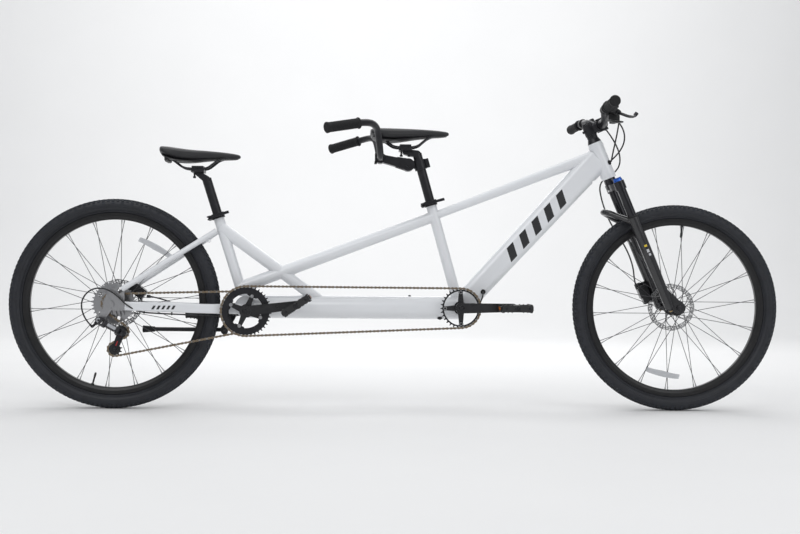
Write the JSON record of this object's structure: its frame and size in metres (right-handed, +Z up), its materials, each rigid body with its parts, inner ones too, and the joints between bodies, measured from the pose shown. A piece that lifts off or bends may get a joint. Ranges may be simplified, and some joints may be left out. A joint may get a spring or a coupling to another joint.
{
  "type": "tandem bicycle",
  "caption": "Long two-seat bicycle with a braced aluminium frame, suspension fork, disc brakes, linked cranksets on the right, two bars and two padded saddles.",
  "frame": {"origin": "on the ground, midway between the two axles, in the centre plane", "axes": "+X forward, +Y to the riders' left, +Z up; the chains are on the -Y side"},
  "size_m": [2.5466, 0.6948, 1.0003],
  "materials": {
    "alloy_black": "anodised",
    "black_metal": "satin",
    "black_plastic": "matte",
    "blue": "gloss",
    "chain": "satin",
    "frame_paint": "gloss",
    "grey": "gloss",
    "leather": "satin",
    "rubber": "matte",
    "steel": "brushed",
    "tyre": "matte"
  },
  "bodies": {
    "frame": {"head_tube": "frame_paint", "top_tube": "frame_paint", "down_tube": "frame_paint", "seat_tubes": "frame_paint", "lateral_tube": "frame_paint", "boom_tube": "frame_paint", "diagonal_tube": "frame_paint", "rear_stays": "frame_paint", "dropouts": "steel", "bottom_brackets": "alloy_black", "seat_collars": "alloy_black", "rear_caliper": "alloy_black", "cable_run": "black_plastic", "derailleur_b_knuckle": "alloy_black", "timing_chain": "chain", "drive_chain": "chain", "kickstand_bracket": "alloy_black"},
    "steering": {"fork_upper": "black_metal", "stem": "alloy_black", "handlebar": "alloy_black", "control_pods": "black_plastic", "front_brake_hose": "rubber", "bar_cables": "rubber"},
    "left_lever": {"left_brake_lever": "alloy_black"},
    "right_lever": {"right_brake_lever": "alloy_black"},
    "shift_thumb": {"shift_lever": "black_plastic"},
    "lockout": {"fork_knob": "blue"},
    "fork_slider": {"fork_lowers": "alloy_black", "front_caliper": "alloy_black"},
    "front_wheel": {"front_tyre": "tyre", "front_rim": "alloy_black", "front_spokes": "steel", "front_hub": "alloy_black"},
    "rear_wheel": {"rear_tyre": "tyre", "rear_rim": "alloy_black", "rear_spokes": "steel", "rear_hub": "alloy_black"},
    "cassette_body": {"cassette": "steel"},
    "rear_crank": {"rear_crankset": "alloy_black", "rear_chainrings": "black_metal"},
    "front_crank": {"front_crankset": "alloy_black", "front_timing_ring": "black_metal"},
    "pedal_fr": {"front_right_pedal": "black_plastic"},
    "pedal_fl": {"front_left_pedal": "black_plastic"},
    "pedal_rr": {"rear_right_pedal": "black_plastic"},
    "pedal_rl": {"rear_left_pedal": "black_plastic"},
    "front_post": {"front_seatpost": "alloy_black", "front_saddle": "leather", "stoker_stem_clamp": "alloy_black"},
    "stoker_arm": {"stoker_stem_arm": "alloy_black", "stoker_bar": "alloy_black"},
    "rear_post": {"rear_seatpost": "alloy_black", "rear_saddle": "leather"},
    "front_seat_qr": {"front_seat_lever": "alloy_black"},
    "rear_seat_qr": {"rear_seat_lever": "alloy_black"},
    "kickstand": {"kickstand_leg": "alloy_black"},
    "mech_links": {"derailleur_links": "grey"},
    "mech_cage": {"derailleur_cage": "alloy_black"},
    "mech_guide": {"guide_pulley": "black_plastic"},
    "mech_tension": {"tension_pulley": "black_plastic"}
  },
  "joints": [
    {"name": "steer", "type": "hinge", "parent": "frame", "child": "steering", "pos_m": [0.68031, 0, 0.8337], "axis": [-0.3875, 0, 0.9219], "range_deg": [-60, 60], "deforming": ["bar_cables"]},
    {"name": "fork_travel", "type": "slide", "parent": "steering", "child": "fork_slider", "axis": [-0.3875, 0, 0.9219], "range_m": [0, 0.06], "stiffness_N_per_m": 8000, "springref_m": -0.02, "deforming": ["front_brake_hose"]},
    {"name": "front_wheel_spin", "type": "hinge", "parent": "fork_slider", "child": "front_wheel", "pos_m": [0.929, 0, 0.344], "axis": [0, 1, 0], "continuous": true},
    {"name": "rear_wheel_spin", "type": "hinge", "parent": "frame", "child": "rear_wheel", "pos_m": [-0.929, 0, 0.344], "axis": [0, 1, 0], "continuous": true},
    {"name": "rear_crank_spin", "type": "hinge", "parent": "frame", "child": "rear_crank", "pos_m": [-0.4958, 0, 0.3237], "axis": [0, 1, 0], "continuous": true},
    {"name": "front_crank_spin", "type": "hinge", "parent": "frame", "child": "front_crank", "pos_m": [0.2057, 0, 0.3383], "axis": [0, 1, 0], "continuous": true},
    {"name": "cassette_spin", "type": "hinge", "parent": "frame", "child": "cassette_body", "pos_m": [-0.929, 0, 0.344], "axis": [0, 1, 0], "continuous": true},
    {"name": "guide_pulley_spin", "type": "hinge", "parent": "mech_cage", "child": "mech_guide", "pos_m": [-0.896, -0.052, 0.254], "axis": [0, 1, 0], "continuous": true},
    {"name": "tension_pulley_spin", "type": "hinge", "parent": "mech_cage", "child": "mech_tension", "pos_m": [-0.918, -0.052, 0.197], "axis": [0, 1, 0], "continuous": true},
    {"name": "front_right_pedal_spin", "type": "hinge", "parent": "front_crank", "child": "pedal_fr", "pos_m": [0.37567, -0.137, 0.34127], "axis": [0, 1, 0], "continuous": true},
    {"name": "front_left_pedal_spin", "type": "hinge", "parent": "front_crank", "child": "pedal_fl", "pos_m": [0.03573, 0.137, 0.33533], "axis": [0, 1, 0], "continuous": true},
    {"name": "rear_right_pedal_spin", "type": "hinge", "parent": "rear_crank", "child": "pedal_rr", "pos_m": [-0.32722, -0.137, 0.34559], "axis": [0, 1, 0], "continuous": true},
    {"name": "rear_left_pedal_spin", "type": "hinge", "parent": "rear_crank", "child": "pedal_rl", "pos_m": [-0.66438, 0.137, 0.3018], "axis": [0, 1, 0], "continuous": true},
    {"name": "kickstand_swing", "type": "hinge", "parent": "frame", "child": "kickstand", "pos_m": [-0.578, 0.052, 0.257], "axis": [0.1559, -0.9799, -0.1247], "range_deg": [0, 98]},
    {"name": "right_brake_pull", "type": "hinge", "parent": "steering", "child": "right_lever", "pos_m": [0.68689, -0.19, 0.96772], "axis": [-0.6226, 0, -0.7825], "range_deg": [0, 20], "stiffness_Nm_per_rad": 1.2, "springref_deg": -14.32},
    {"name": "left_brake_pull", "type": "hinge", "parent": "steering", "child": "left_lever", "pos_m": [0.68689, 0.19, 0.96772], "axis": [0.6226, 0, 0.7825], "range_deg": [0, 20], "stiffness_Nm_per_rad": 1.2, "springref_deg": -14.32},
    {"name": "thumb_shift", "type": "hinge", "parent": "steering", "child": "shift_thumb", "pos_m": [0.67897, -0.152, 0.94269], "axis": [0.0902, 0, 0.9959], "range_deg": [0, 22], "stiffness_Nm_per_rad": 0.6, "springref_deg": -14.32},
    {"name": "lockout_turn", "type": "hinge", "parent": "steering", "child": "lockout", "pos_m": [0.72053, -0.06, 0.76382], "axis": [-0.3875, 0, 0.9219], "range_deg": [0, 90]},
    {"name": "front_post_height", "type": "slide", "parent": "frame", "child": "front_post", "axis": [-0.274, 0, 0.9617], "range_m": [-0.06, 0.1]},
    {"name": "rear_post_height", "type": "slide", "parent": "frame", "child": "rear_post", "axis": [-0.304, 0, 0.9527], "range_m": [-0.06, 0.1]},
    {"name": "front_seat_lever_open", "type": "hinge", "parent": "frame", "child": "front_seat_qr", "pos_m": [0.08111, -0.0235, 0.67713], "axis": [0.274, 0, -0.9617], "range_deg": [0, 150]},
    {"name": "rear_seat_lever_open", "type": "hinge", "parent": "frame", "child": "rear_seat_qr", "pos_m": [-0.62094, -0.0235, 0.62701], "axis": [0.304, 0, -0.9527], "range_deg": [0, 150]},
    {"name": "stoker_stem_tilt", "type": "hinge", "parent": "front_post", "child": "stoker_arm", "pos_m": [0.0311, 0, 0.8109], "axis": [0, 1, 0], "range_deg": [-35, 5]},
    {"name": "derailleur_shift", "type": "hinge", "parent": "frame", "child": "mech_links", "pos_m": [-0.9435, -0.092, 0.2815], "axis": [0.3746, 0.4042, 0.8344], "range_deg": [-6, 33], "deforming": ["drive_chain"]},
    {"name": "derailleur_parallel", "type": "hinge", "parent": "mech_links", "child": "mech_cage", "pos_m": [-0.90311, -0.08097, 0.25803], "axis": [0.3746, 0.4042, 0.8344], "range_deg": [-34, 7]}
  ],
  "couplings": [
    {"joint": "front_crank_spin", "follows": "rear_crank_spin", "ratio": 1.25},
    {"joint": "cassette_spin", "follows": "rear_crank_spin", "ratio": 2},
    {"joint": "guide_pulley_spin", "follows": "rear_crank_spin", "ratio": -2.9091},
    {"joint": "tension_pulley_spin", "follows": "rear_crank_spin", "ratio": 2.9091},
    {"joint": "derailleur_parallel", "follows": "derailleur_shift", "ratio": -1}
  ]
}
